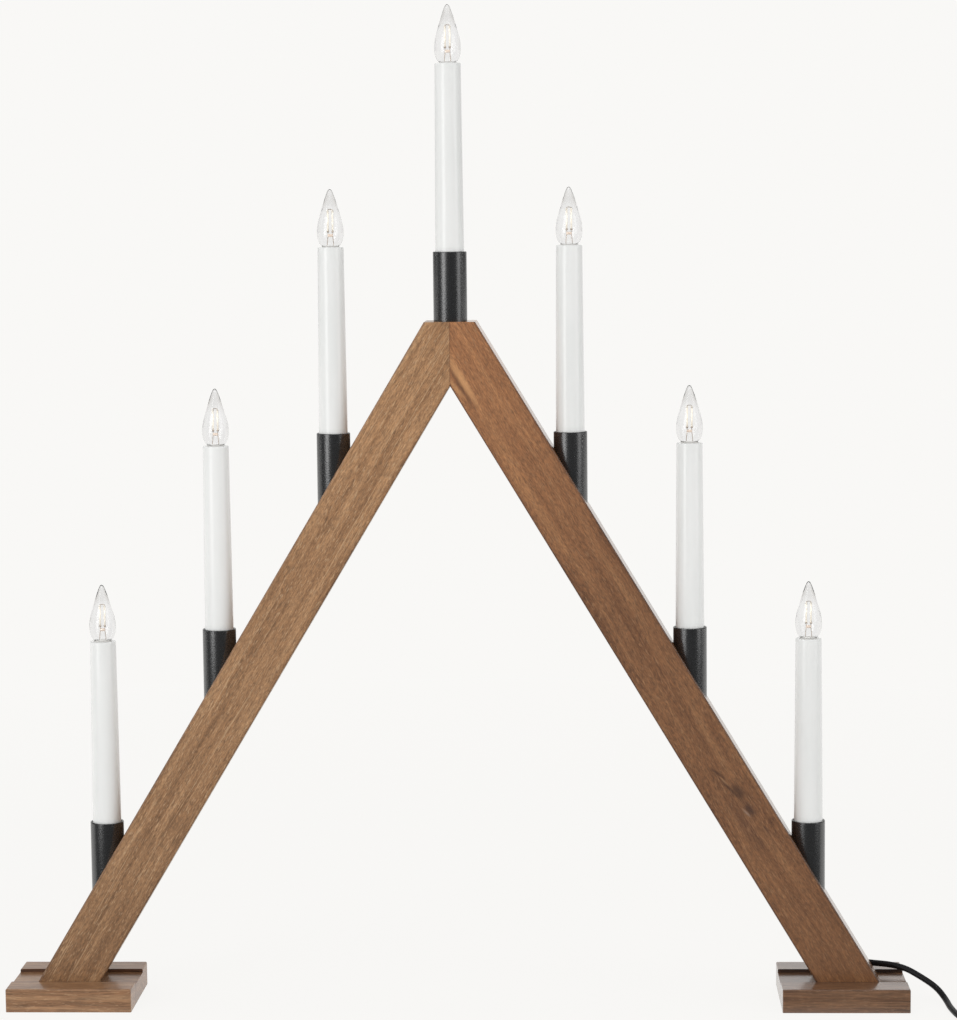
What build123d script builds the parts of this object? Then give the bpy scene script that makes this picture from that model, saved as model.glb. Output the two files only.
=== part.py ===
from build123d import *
import math
import os

# Electric candle arch: a wooden A-frame on two feet, with seven candle lamps
# in black cups. Millimetres, X across, Y to the back, Z up. The origin is on
# the floor, in the middle between the feet.

# Wooden frame
leg_lean = 31.0
leg_width = 30.0
leg_depth = 27.0
crown_height = 380.0
crown_width = 28.0
foot_length = 70.0
foot_depth = 60.0
foot_height = 13.0
foot_groove_depth = 2.0
foot_shift = 3.2
edge_round = 0.8
groove_clearance = 0.1
dowel_radius = 3.0
dowel_length = 24.0
dowel_spread = 12.0
dowel_height = 7.5
screw_radius = 2.0
screw_head_radius = 3.8
screw_head_depth = 2.4
screw_recess = 0.6
screw_bite = 22.0
screw_spread = 14.0
screw_shift = 6.0
hole_clearance = 0.05

# Wire channel in the back of each leg and its cover strip
channel_width = 6.0
channel_depth = 3.2
cover_thickness = 1.2
cover_clearance = 0.1

# Candle places and cups
candle_count = 7
candle_spread = 0.898
cup_radius = 9.25
cup_wall = 1.0
cup_length = 50.0
side_rim_rise = 24.4
crown_rim_rise = 38.0
cup_floor_depth = 12.0
cup_floor_thickness = 2.0
cup_wire_hole_radius = 4.0
cup_rim_round = 0.4
well_radius = 4.0
well_depth = 8.0
cross_hole_radius = 2.5

# Candle sleeves
sleeve_rise = 102.0
sleeve_base_radius = 7.95
sleeve_top_radius = 7.2
sleeve_bore_radius = 6.0
sleeve_rim_round = 0.5
socket_shelf_thickness = 1.5
socket_shelf_radius = 4.3

# Screw sockets inside the sleeves
shell_radius = 5.4
shell_length = 8.0
shell_drop = 1.5
socket_clearance = 0.05
thread_clearance = 0.15
base_height = 3.0
leaf_radius = 2.5
leaf_thickness = 0.45
leaf_gap = 0.15
rivet_radius = 0.8
rivet_length = 5.0
terminal_depth = 2.0
terminal_spread = 5.0

# Bulbs: heights are above the top of the sleeve
bulb_height = 31.6
bulb_neck_radius = 5.0
bulb_neck_height = 0.8
bulb_belly_radius = 7.3
bulb_belly_height = 8.4
bulb_shoulder_radius = 4.75
bulb_shoulder_height = 20.2
bulb_nose_radius = 1.5
bulb_nose_height = 29.9
glass_wall = 0.8
glass_root_radius = 3.7
glass_root_depth = 4.0
stem_radius = 2.4
stem_height = 1.0
strand_radius = 0.5
strand_offset = 1.3
strand_bottom = 8.8
strand_top = 19.4
strand_cap_radius = 0.65
strand_cap_length = 0.8
bead_radius = 0.75
bead_length = 3.2
bead_height = 6.4
lead_wire_radius = 0.2
lead_wire_offset = 1.7
lead_wire_rise = 1.2
bridge_rise = 0.6
cap_drop = 1.0
cap_length = 8.0
cap_crest_radius = 4.7
cap_root_radius = 4.2
cap_crest_width = 0.5
cap_ridge_flank = 0.5
cap_thread_pitch = 1.814
cap_bore_radius = 3.8
insulator_height = 2.0
insulator_clearance = 0.1
tip_radius = 1.5
tip_height = 1.0

# Wires in the frame
wire_radius = 0.9
wire_spacing = 2.4
wire_turn_radius = 2.5
wire_gap = 0.15

# Cord gland at the bottom of the right leg's back
gland_height = 37.6
gland_tilt = 15.0
gland_radius = 3.2
gland_nose_radius = 2.3
gland_nose_length = 12.0
gland_root_length = 8.0
gland_clearance = 0.1

# Cord, its put-away coil, tie and plug
cord_radius = 1.7
cord_rise = 2.3
floor_gap = 0.05
gland_run = 25.6
coil_run_in = 15.5
coil_reach = 62.0
coil_depth = -45.5
coil_outer_radius = 24.5
coil_turn_gap = 0.6
coil_layers = 4
layer_quarters = 9
climb_quarters = 2
tail_quarters = 3
tail_step = 1.3
tie_thickness = 0.8
tie_width = 5.0
tie_clearance = 0.3
tie_angle = 45.0
plug_boot_length = 20.0
plug_boot_radius = 4.6
plug_boot_tip_radius = 2.6
plug_length = 34.0
plug_width = 35.0
plug_neck_width = 15.0
plug_shoulder_length = 12.0
plug_thickness = 13.6
plug_round = 1.6
pin_radius = 2.0
pin_length = 19.0
pin_spacing = 18.6

# What follows from these sizes
lean_slope = math.tan(math.radians(leg_lean))
lean_sine = math.sin(math.radians(leg_lean))
lean_cosine = math.cos(math.radians(leg_lean))
level_width = leg_width / lean_cosine
peak_height = crown_height + crown_width / 2 / lean_slope
leg_bottom = foot_height - foot_groove_depth
back_face = leg_depth / 2
channel_floor = back_face - channel_depth
wire_depth = channel_floor + wire_radius + wire_gap
middle_drop = leg_width / 2 / lean_sine
cap_end = -cap_drop - cap_length
tip_end = cap_end - insulator_height - tip_height
shell_end = -shell_drop - shell_length
shelf_end = shell_end - socket_shelf_thickness
base_top = tip_end - leaf_gap - leaf_thickness
coil_step = 2 * cord_radius + coil_turn_gap
coil_quarters = coil_layers * layer_quarters + (coil_layers - 1) * climb_quarters + tail_quarters
coil_bottom = tie_thickness + tie_clearance + cord_radius
plug_center_height = plug_thickness / 2

os.makedirs("parts", exist_ok=True)


def outer_face_x(height):
    """Half width of the frame over its outer faces at a height."""
    return (peak_height - height) * lean_slope


def middle_x(height):
    """Half width of the frame at the middle of its legs at a height."""
    return outer_face_x(height) - level_width / 2


leg_foot_x = middle_x(leg_bottom)
foot_x = leg_foot_x - foot_shift
foot_end = foot_x + foot_length / 2
candle_pitch = candle_spread * leg_foot_x * 2 / (candle_count - 1)
coil_center = Vector(foot_end + coil_reach, coil_depth, 0)


def upright_face(points):
    """Closed outline in the XZ plane, as a face at Y zero."""
    outline = Polyline(*[(x, 0, z) for x, z in points], close=True)
    return make_face(outline)


def turned(points):
    """Solid turned about the Z axis from an outline of radius and height."""
    return revolve(upright_face(points), Axis.Z)


def post(radius, bottom, top, x=0.0, y=0.0):
    """Upright cylinder between two heights."""
    return Pos(x, y, bottom) * Cylinder(radius, top - bottom, align=(Align.CENTER, Align.CENTER, Align.MIN))


def rod(start, end, radius):
    """Straight round rod from one point to another."""
    start = Vector(*start)
    run = Vector(*end) - start
    return Solid.make_cylinder(radius, run.length, Plane(origin=start, z_dir=run))


def mirrored(shape, side):
    """The shape itself on the right, its mirror image on the left."""
    return shape if side > 0 else mirror(shape, about=Plane.YZ)


class Candle:
    """Place of one candle: its axis, its cup's rim and its sleeve's top."""

    def __init__(self, number):
        step = number - (candle_count + 1) / 2
        self.number = number
        self.x = step * candle_pitch
        self.on_crown = step == 0
        if self.on_crown:
            self.seat = crown_height
            self.rim = crown_height + crown_rim_rise
            self.wire_height = self.rim - cup_length - well_depth / 2
        else:
            self.seat = peak_height - abs(self.x) / lean_slope
            self.rim = self.seat + side_rim_rise
            self.wire_height = self.seat - middle_drop
        self.cup_bottom = self.rim - cup_length
        self.well_bottom = self.cup_bottom - well_depth
        self.top = self.rim + sleeve_rise

    def at_rim(self, shape):
        return Pos(self.x, 0, self.rim) * shape

    def at_top(self, shape):
        return Pos(self.x, 0, self.top) * shape


candles = [Candle(number) for number in range(1, candle_count + 1)]
crown_candle = next(candle for candle in candles if candle.on_crown)


def channel_outline(bottom, clearance):
    """Right half of the wire channel seen from the front, with the crown's short branch."""
    half_level = (channel_width / 2 - clearance) / lean_cosine
    branch = channel_width / 2 - clearance
    top = crown_height + leg_width
    strip = upright_face([
        (middle_x(bottom) - half_level, bottom),
        (middle_x(bottom) + half_level, bottom),
        (middle_x(top) + half_level, top),
        (middle_x(top) - half_level, top),
    ])
    branch_bottom = crown_candle.well_bottom + clearance
    crown_middle = peak_height - middle_drop
    drop = upright_face([
        (0, branch_bottom),
        (branch, branch_bottom),
        (branch, crown_middle),
        (0, crown_middle),
    ])
    reach = middle_x(bottom) + level_width
    limit = crown_height - edge_round - channel_width / 2 - clearance
    half = upright_face([(0, bottom), (reach, bottom), (reach, limit), (0, limit)])
    return (strip + drop) & half


def along_back(face, start, end):
    """Solid of a face in the XZ plane, between two depths."""
    return Pos(0, start, 0) * extrude(face, amount=end - start, dir=(0, 1, 0))


gland_mouth = Vector(middle_x(gland_height), back_face, gland_height)
gland_direction = Vector(
    lean_sine * math.cos(math.radians(gland_tilt)),
    math.sin(math.radians(gland_tilt)),
    -lean_cosine * math.cos(math.radians(gland_tilt)),
)
gland_end = gland_mouth + gland_direction * gland_nose_length
gland_start = gland_mouth - gland_direction * gland_root_length
lowest_wire = min(candle.wire_height for candle in candles)
channel_bottoms = {1: gland_start.Z - gland_radius, -1: lowest_wire - channel_width}
cover_bottoms = {1: gland_start.Z + 2 * gland_radius, -1: lowest_wire - channel_width + cover_clearance}


def make_leg(side):
    """Leaning leg, mitred at the crown, bored for its cups, wires and fastenings."""
    foot_outer = outer_face_x(leg_bottom)
    outline = upright_face([
        (0, crown_height),
        (crown_width / 2, crown_height),
        (foot_outer, leg_bottom),
        (foot_outer - level_width, leg_bottom),
        (0, peak_height - level_width / lean_slope),
    ])
    leg = along_back(outline, -leg_depth / 2, leg_depth / 2)
    lengthwise = Vector(lean_sine, 0, -lean_cosine)
    long_edges = leg.edges().filter_by(lambda edge: edge.tangent_at(0.5).cross(lengthwise).length < 0.001)
    leg = fillet(long_edges, edge_round)
    leg -= along_back(channel_outline(channel_bottoms[side], 0), channel_floor, back_face + channel_depth)
    for candle in candles:
        if candle.x * side < 0:
            continue
        x = abs(candle.x)
        leg -= post(cup_radius + hole_clearance, candle.cup_bottom, candle.rim + cup_length, x)
        leg -= post(well_radius, candle.well_bottom, candle.rim, x)
        leg -= rod((x, 0, candle.wire_height), (x, back_face, candle.wire_height), cross_hole_radius)
    dowel_z = peak_height - level_width / lean_slope + dowel_height
    for y in (-dowel_spread / 2, dowel_spread / 2):
        reach = dowel_length / 2 + hole_clearance
        leg -= rod((0, y, dowel_z), (reach, y, dowel_z), dowel_radius + hole_clearance)
    for y in (-screw_spread / 2, screw_spread / 2):
        top = leg_bottom + screw_bite + hole_clearance
        leg -= post(screw_radius + hole_clearance, leg_bottom, top, leg_foot_x - screw_shift, y)
    if side > 0:
        reach = gland_mouth + gland_direction * (gland_nose_length * 2)
        leg -= rod(gland_start, reach, gland_radius + gland_clearance)
    return mirrored(leg, side)


def make_foot(side):
    """Flat block with a groove along its top for the leg's end and two screw holes."""
    block = Box(foot_length, foot_depth, foot_height)
    foot = Pos(foot_x, 0, foot_height / 2) * block
    foot = fillet(foot.edges().filter_by(Axis.Z) + foot.faces().sort_by(Axis.Z)[-1].edges(), edge_round)
    groove_width = leg_depth + 2 * groove_clearance
    groove = Box(foot_length * 2, groove_width, foot_groove_depth * 2)
    foot -= Pos(foot_x, 0, foot_height) * groove
    for y in (-screw_spread / 2, screw_spread / 2):
        foot -= Pos(leg_foot_x - screw_shift, y, 0) * screw_shape(hole_clearance, 0)
    return mirrored(foot, side)


def screw_shape(clearance, bottom):
    """Countersunk screw about the Z axis with its head down, from a height up into the leg."""
    head = screw_head_radius + clearance
    shank = screw_radius + clearance
    neck = screw_recess + screw_head_depth
    top = leg_bottom + screw_bite
    return turned([(0, bottom), (head, bottom), (head, screw_recess), (shank, neck), (shank, top), (0, top)])


def make_foot_screws():
    screws = []
    for side in (-1, 1):
        for y in (-screw_spread / 2, screw_spread / 2):
            place = Pos(side * (leg_foot_x - screw_shift), y, 0)
            screws.append(place * screw_shape(0, screw_recess - hole_clearance))
    return Compound(screws)


def make_apex_dowels():
    z = peak_height - level_width / lean_slope + dowel_height
    half = dowel_length / 2
    places = (-dowel_spread / 2, dowel_spread / 2)
    return Compound([rod((-half, y, z), (half, y, z), dowel_radius) for y in places])


def make_wire_cover(side):
    """Strip that closes the wire channel, flush with the back of the leg."""
    outline = channel_outline(cover_bottoms[side], cover_clearance)
    return mirrored(along_back(outline, back_face - cover_thickness, back_face), side)


def make_cup():
    """Black tube with a floor inside that carries the sleeve, its rim at height zero."""
    bore = cup_radius - cup_wall
    cup = turned([
        (bore, 0),
        (cup_radius, 0),
        (cup_radius, -cup_length),
        (bore, -cup_length),
        (bore, -cup_floor_depth - cup_floor_thickness),
        (cup_wire_hole_radius, -cup_floor_depth - cup_floor_thickness),
        (cup_wire_hole_radius, -cup_floor_depth),
        (bore, -cup_floor_depth),
    ])
    return fillet(cup.edges().group_by(Axis.Z)[-1], cup_rim_round)


def make_sleeve():
    """Tapered white sleeve, its top at height zero, with a shelf for the screw socket."""
    seat = shell_radius + socket_clearance
    bottom = -sleeve_rise - cup_floor_depth
    sleeve = turned([
        (seat, 0),
        (sleeve_top_radius, 0),
        (sleeve_base_radius, -sleeve_rise),
        (sleeve_base_radius, bottom),
        (sleeve_bore_radius, bottom),
        (sleeve_bore_radius, shelf_end),
        (socket_shelf_radius, shelf_end),
        (socket_shelf_radius, shell_end),
        (seat, shell_end),
    ])
    return fillet(sleeve.edges().group_by(Axis.Z)[-1], sleeve_rim_round)


def make_socket_shell():
    """Brass screw shell, its place as in the sleeve's top."""
    bore = post(cap_crest_radius + thread_clearance, shell_end, 0)
    return post(shell_radius, shell_end, -shell_drop) - bore


def make_socket_base():
    """Insulating disc under the shelf, bored for the rivet and the two wires."""
    base = post(sleeve_bore_radius - socket_clearance, base_top - base_height, base_top)
    base -= post(rivet_radius + socket_clearance, base_top - base_height, base_top)
    for x in (-terminal_spread / 2, terminal_spread / 2):
        bottom = base_top - base_height
        base -= post(wire_radius + hole_clearance, bottom, bottom + terminal_depth, x)
    return base


def make_socket_contact():
    """Brass contact leaf under the bulb's tip, riveted through the base."""
    leaf = post(leaf_radius, base_top, base_top + leaf_thickness)
    return leaf + post(rivet_radius, base_top - rivet_length, base_top)


def glass_outline(wall):
    """Bulb's outline from neck to tip, drawn in by a wall thickness."""
    points = [
        (bulb_neck_radius - wall, 0, bulb_neck_height),
        (bulb_belly_radius - wall, 0, bulb_belly_height),
        (bulb_shoulder_radius - wall, 0, bulb_shoulder_height),
        (bulb_nose_radius - wall, 0, bulb_nose_height - wall),
        (0, 0, bulb_height - wall),
    ]
    return Spline(*points, tangents=[(1, 0, 1), (-1, 0, 0)])


def make_bulb_glass():
    """Hollow glass with its sealed foot and the stem that carries the filament."""
    outer = glass_outline(0)
    inner = glass_outline(glass_wall)
    root = glass_root_radius - glass_wall
    seal = -glass_root_depth + glass_wall
    foot = Polyline(
        outer @ 0,
        (glass_root_radius, 0, -cap_drop),
        (glass_root_radius, 0, -glass_root_depth),
        (0, 0, -glass_root_depth),
        (0, 0, stem_height),
        (stem_radius, 0, stem_height),
        (stem_radius, 0, seal),
        (root, 0, seal),
        (root, 0, -cap_drop),
        inner @ 0,
    )
    tip = Line(outer @ 1, inner @ 1)
    return revolve(make_face([outer, foot, inner, tip]), Axis.Z)


def make_bulb_cap():
    """Screw cap of the bulb, a ridged shell round the glass's foot."""
    outline = [(cap_bore_radius, cap_end), (cap_root_radius, cap_end)]
    for ridge in range(int(cap_length / cap_thread_pitch)):
        middle = cap_end + (ridge + 0.5) * cap_thread_pitch
        outline.append((cap_root_radius, middle - cap_crest_width / 2 - cap_ridge_flank))
        outline.append((cap_crest_radius, middle - cap_crest_width / 2))
        outline.append((cap_crest_radius, middle + cap_crest_width / 2))
        outline.append((cap_root_radius, middle + cap_crest_width / 2 + cap_ridge_flank))
    outline += [(cap_root_radius, -cap_drop), (cap_bore_radius, -cap_drop)]
    return turned(outline)


def make_bulb_contact():
    """Insulator and contact tip at the bottom of the cap."""
    radius = cap_bore_radius - insulator_clearance
    insulator = post(radius, cap_end - insulator_height, -glass_root_depth - insulator_clearance)
    return insulator + post(tip_radius, tip_end, cap_end - insulator_height)


def make_bulb_filament():
    """Two upright strands bridged at the top, on two wires that a glass bead holds apart."""
    low = strand_bottom - strand_cap_length
    high = strand_top + strand_cap_length
    bridge = high + bridge_rise
    filament = rod((-bead_length / 2, 0, bead_height), (bead_length / 2, 0, bead_height), bead_radius)
    for side in (-1, 1):
        x = side * strand_offset
        filament += post(strand_radius, strand_bottom, strand_top, x)
        filament += post(strand_cap_radius, low, strand_bottom, x)
        filament += post(strand_cap_radius, strand_top, high, x)
        wire_x = side * lead_wire_offset
        wire = [
            (wire_x, 0, stem_height),
            (wire_x, 0, stem_height + lead_wire_rise),
            (x, 0, bead_height),
            (x, 0, low),
        ]
        for start, end in zip(wire, wire[1:]):
            filament += rod(start, end, lead_wire_radius)
            filament += Pos(*end) * Sphere(lead_wire_radius)
        filament += rod((x, 0, high), (x, 0, bridge), lead_wire_radius)
        filament += Pos(x, 0, bridge) * Sphere(lead_wire_radius)
    return filament + rod((-strand_offset, 0, bridge), (strand_offset, 0, bridge), lead_wire_radius)


def make_series_wiring():
    """Two wires along each channel, and two leads from the channel up to each socket."""
    wires = []
    for side in (-1, 1):
        bottom = gland_start.Z + wire_radius + wire_gap if side > 0 else lowest_wire
        top = crown_candle.wire_height
        for offset in (-wire_spacing / 2, wire_spacing / 2):
            shift = offset / lean_cosine
            start = (side * (middle_x(bottom) + shift), wire_depth, bottom)
            end = (side * (middle_x(top) + shift), wire_depth, top)
            wires.append(rod(start, end, wire_radius))
    for candle in candles:
        upper = candle.top + base_top - base_height + terminal_depth
        reach = wire_depth - wire_radius - wire_gap
        for offset in (-wire_spacing / 2, wire_spacing / 2):
            x = candle.x + offset
            socket_x = candle.x + math.copysign(terminal_spread / 2, offset)
            knee = candle.rim
            shoulder = upper - terminal_depth * 4
            route = FilletPolyline(
                (x, reach, candle.wire_height),
                (x, 0, candle.wire_height),
                (x, 0, knee),
                (socket_x, 0, shoulder),
                (socket_x, 0, upper),
                radius=wire_turn_radius,
            )
            section = Plane(route @ 0, z_dir=route % 0) * Circle(wire_radius)
            wires.append(sweep(section, route))
    return Compound(wires)


def make_cord_gland():
    """Tapered strain relief, its root sunk in the back of the leg and its nose along the cord."""
    root_plane = Plane(origin=gland_start, z_dir=gland_direction)
    root = Solid.make_cylinder(gland_radius, gland_root_length, root_plane)
    nose_plane = Plane(origin=gland_mouth, z_dir=gland_direction)
    return root + Solid.make_cone(gland_radius, gland_nose_radius, gland_nose_length, nose_plane)


def coil_place(quarter):
    """Point of the coil after a number of quarter turns: it spirals at a steady rate
    and turns back half way through each climb, and its tail steps out and sinks to the plug."""
    stride = layer_quarters + climb_quarters
    wound = min(quarter, coil_quarters - tail_quarters)
    layer = min(int(wound // stride), coil_layers - 1)
    climbed = max(0, wound - layer * stride - layer_quarters)
    level = layer + climbed / climb_quarters
    swing = abs((wound + climb_quarters / 2) % (2 * stride) - stride) - climb_quarters / 2
    tail = quarter - wound
    radius = coil_outer_radius - (layer_quarters - swing) / 4 * coil_step
    radius += min(tail, 1) * tail_step * coil_step
    height = coil_bottom + level * coil_step
    height += max(0, tail - 1) / (tail_quarters - 1) * (plug_center_height - height)
    angle = math.radians(90 * quarter - 90)
    return Vector(
        coil_center.X + radius * math.cos(angle),
        coil_center.Y + radius * math.sin(angle),
        height,
    )


def biarc(start, start_way, end, end_way):
    """Two tangent arcs from one point and direction to another."""
    span = end - start
    ways = start_way + end_way
    bend = 2 * (1 - start_way.dot(end_way))
    lean = span.dot(ways)
    reach = (math.sqrt(lean * lean + bend * span.dot(span)) - lean) / bend
    joint = (start + end + (start_way - end_way) * reach) * 0.5
    way = (joint - (start + start_way * reach)).normalized()
    return [TangentArc(start, joint, tangent=start_way), TangentArc(joint, end, tangent=way)]


coil_points = [coil_place(quarter) for quarter in range(coil_quarters + 1)]
coil_start = coil_points[0] - Vector(2 * cord_radius, 0, 0)
coil_end = coil_points[-1] + Vector(0, 2 * cord_radius, 0)


def coil_route():
    """Straight start, quarter-turn biarcs in and out through the layers, straight end."""
    ways = [Vector(1, 0, 0)]
    for before, after in zip(coil_points, coil_points[2:]):
        ways.append((after - before).normalized())
    ways.append(Vector(0, 1, 0))
    edges = [Line(coil_start, coil_points[0])]
    for index in range(coil_quarters):
        edges += biarc(coil_points[index], ways[index], coil_points[index + 1], ways[index + 1])
    edges.append(Line(coil_points[-1], coil_end))
    return Wire(edges)


def self_gap(route):
    """Least gap between stretches of the tube that lie more than a few diameters apart along it."""
    spacing = cord_radius / 2
    count = int(route.length / spacing)
    points = [tuple(route.position_at(index / count)) for index in range(count + 1)]
    apart = int(8 * cord_radius / spacing)
    least = min(
        math.dist(point, other)
        for index, point in enumerate(points)
        for other in points[index + apart:]
    )
    return least - 2 * cord_radius


# The cord's route from the gland, over the foot's end, down to the floor and on to the coil
over_foot = foot_height + cord_radius + cord_rise
on_floor = cord_radius + floor_gap
lead_points = [
    gland_end,
    gland_mouth + gland_direction * gland_run,
    Vector(foot_end - 18, 16, over_foot),
    Vector(foot_end - 3, 8, over_foot - 1),
    Vector(foot_end + 11, 0.5, over_foot - 6.2),
    Vector(foot_end + 19.5, -11, 2.3 * cord_radius),
    Vector(foot_end + 22.7, -28.8, on_floor),
    Vector(foot_end + 25, -45, on_floor),
    Vector(foot_end + 31.5, -59.5, on_floor + 0.45),
    coil_start - Vector(coil_run_in, 0, 0),
    coil_start,
]


def lead_route():
    """Route's straight runs with the largest tangent arc at each corner."""
    radii = []
    for before, point, after in zip(lead_points, lead_points[1:], lead_points[2:]):
        turn = math.radians((point - before).get_angle(after - point))
        shorter = min((point - before).length, (after - point).length)
        radii.append(0.45 * shorter / math.tan(turn / 2))
    print("cord radii", [round(radius, 1) for radius in radii])
    return FilletPolyline(*lead_points, radius=radii)


def tube(route, name):
    """Round cord along a route, with its volume compared with section times length."""
    section = Plane(route @ 0, z_dir=route % 0) * Circle(cord_radius)
    solid = sweep(section, route)
    expected = math.pi * cord_radius ** 2 * route.length
    print(name, "length", round(route.length, 1), "volume ratio", round(solid.volume / expected, 4))
    return solid


def make_cord_tie():
    """Flat band round the bundle of the coil's turns."""
    swell = climb_quarters / 2 / 4 * coil_step
    inner = coil_outer_radius - layer_quarters / 4 * coil_step - swell - cord_radius - tie_clearance
    outer = coil_outer_radius + swell + cord_radius + tie_clearance
    opening = coil_bottom + (coil_layers - 1) * coil_step + cord_radius + tie_clearance - tie_thickness
    middle = (inner + outer) / 2
    height = tie_thickness + opening / 2
    inside = RectangleRounded(outer - inner, opening, cord_radius / 2)
    outside = RectangleRounded(outer - inner + 2 * tie_thickness, opening + 2 * tie_thickness, cord_radius)
    place = Pos(*coil_center) * Rot(0, 0, tie_angle) * Pos(middle, 0, height)
    return place * extrude(Plane.XZ * (outside - inside), amount=tie_width / 2, both=True)


plug_place = Pos(*coil_end)


def make_plug_body():
    """Flat two-pin plug lying on its side, with a tapered boot round the cord."""
    front = plug_boot_length + plug_length
    shoulder = plug_boot_length + plug_shoulder_length
    outline = make_face(Polyline(
        (-plug_neck_width / 2, plug_boot_length),
        (plug_neck_width / 2, plug_boot_length),
        (plug_width / 2, shoulder),
        (plug_width / 2, front),
        (-plug_width / 2, front),
        (-plug_width / 2, shoulder),
        close=True,
    ))
    body = extrude(outline, amount=plug_thickness / 2, both=True)
    body = fillet(body.edges(), plug_round)
    boot_plane = Plane(origin=(0, 0, 0), z_dir=(0, 1, 0))
    body += Solid.make_cone(plug_boot_tip_radius, plug_boot_radius, plug_boot_length + plug_round, boot_plane)
    return plug_place * body


def make_plug_pins():
    front = plug_boot_length + plug_length
    pins = []
    for x in (-pin_spacing / 2, pin_spacing / 2):
        pin = rod((x, front, 0), (x, front + pin_length, 0), pin_radius)
        pins.append(plug_place * fillet(pin.edges().group_by(Axis.Y)[-1], pin_radius / 2))
    return Compound(pins)


def save(shape, name):
    export_step(shape, "parts/" + name + ".step")


for side, word in ((-1, "left"), (1, "right")):
    save(make_leg(side), word + "_leg")
    save(make_foot(side), word + "_foot")
    save(make_wire_cover(side), word + "_wire_cover")
save(make_apex_dowels(), "apex_dowels")
save(make_foot_screws(), "foot_screws")
save(make_series_wiring(), "series_wiring")

cup = make_cup()
sleeve = make_sleeve()
bulb_pieces = {
    "bulb_glass": make_bulb_glass(),
    "bulb_cap": make_bulb_cap(),
    "bulb_contact": make_bulb_contact(),
    "bulb_filament": make_bulb_filament(),
}
socket_pieces = {
    "socket_shells": make_socket_shell(),
    "socket_bases": make_socket_base(),
    "socket_contacts": make_socket_contact(),
}
for candle in candles:
    save(candle.at_rim(cup), "holder_cup_" + str(candle.number))
    save(candle.at_top(sleeve), "candle_sleeve_" + str(candle.number))
    for name, piece in bulb_pieces.items():
        save(candle.at_top(piece), name + "_" + str(candle.number))
for name, piece in socket_pieces.items():
    save(Compound([candle.at_top(piece) for candle in candles]), name)

save(make_cord_gland(), "cord_gland")
save(tube(lead_route(), "lead_cord"), "lead_cord")
winding = coil_route()
print("coil least gap", round(self_gap(winding), 3))
save(tube(winding, "lead_coil"), "lead_coil")
save(make_cord_tie(), "cord_tie")
save(make_plug_body(), "plug_body")
save(make_plug_pins(), "plug_pins")
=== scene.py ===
import bpy
import bmesh
import math
import numpy as np
from mathutils import Matrix, Vector


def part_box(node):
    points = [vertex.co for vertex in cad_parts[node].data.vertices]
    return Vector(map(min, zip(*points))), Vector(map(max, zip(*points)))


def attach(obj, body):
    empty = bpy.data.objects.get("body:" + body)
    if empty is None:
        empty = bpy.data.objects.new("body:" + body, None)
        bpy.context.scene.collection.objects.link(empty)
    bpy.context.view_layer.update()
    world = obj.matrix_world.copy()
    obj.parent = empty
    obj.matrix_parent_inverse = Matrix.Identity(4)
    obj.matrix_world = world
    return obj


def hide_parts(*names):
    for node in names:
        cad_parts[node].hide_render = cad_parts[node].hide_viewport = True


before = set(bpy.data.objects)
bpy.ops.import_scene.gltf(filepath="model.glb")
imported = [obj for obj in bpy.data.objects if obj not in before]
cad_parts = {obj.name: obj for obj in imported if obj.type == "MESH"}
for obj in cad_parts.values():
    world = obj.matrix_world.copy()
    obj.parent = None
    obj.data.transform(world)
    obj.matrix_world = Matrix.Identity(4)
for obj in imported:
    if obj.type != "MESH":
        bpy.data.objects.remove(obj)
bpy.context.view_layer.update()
mm = 0.001
candleNumbers = range(1, 8)


# Camera: eye in metres, then yaw, pitch and roll in radians
cameraSettings = dict(eye=(0.07836, -1.58783, 0.44306), yaw=0.0403, pitch=-0.1049, roll=-0.0102,
                      focalPixels=2895.0, photoLong=1020, sensor=36.0, clipEnd=50.0)


# right, up and back axes of a camera that is yawed, pitched and then rolled about its view
def makeCamera(s):
    ahead = Vector((-math.sin(s["yaw"]) * math.cos(s["pitch"]),
                    math.cos(s["yaw"]) * math.cos(s["pitch"]), math.sin(s["pitch"])))
    level = Vector((math.cos(s["yaw"]), math.sin(s["yaw"]), 0))
    upright = level.cross(ahead)
    right = level * math.cos(s["roll"]) + upright * math.sin(s["roll"])
    up = upright * math.cos(s["roll"]) - level * math.sin(s["roll"])
    data = bpy.data.cameras.new("archCamera")
    data.sensor_width = s["sensor"]
    data.lens = s["focalPixels"] / s["photoLong"] * s["sensor"]
    data.clip_end = s["clipEnd"]
    camera = bpy.data.objects.new("archCamera", data)
    turn = Matrix((right, up, -ahead)).transposed().to_4x4()
    camera.matrix_world = Matrix.Translation(s["eye"]) @ turn
    bpy.context.scene.collection.objects.link(camera)
    bpy.context.scene.camera = camera


makeCamera(cameraSettings)
print("camera set")


# Lead: route points in millimetres from the gland to the coil, then the coil's turns
leadSettings = dict(
    radius=1.7, coilCenter=(312.0, -45.5), coilRadius=24.5, coilStep=4.0, coilBottom=2.8,
    layers=4, layerQuarters=9, climbQuarters=2, tailQuarters=3, tailStep=1.3, plugHeight=6.8, pointsPerQuarter=4,
    sectionSteps=5, lengthSteps=6,
    route=[(208.2, 16.6, 27.7), (212.7, 18.9, 20.2), (225.9, 18.7, 16.0), (248.1, 7.7, 17.0),
           (260.0, 1.2, 11.4), (267.2, -4.8, 7.4), (271.1, -13.9, 3.2), (272.0, -26.5, 2.0), (274.9, -43.3, 1.7),
           (279.2, -56.5, 2.1), (293.1, -70.0, 2.8), (308.6, -70.0, 2.8)])


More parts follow.
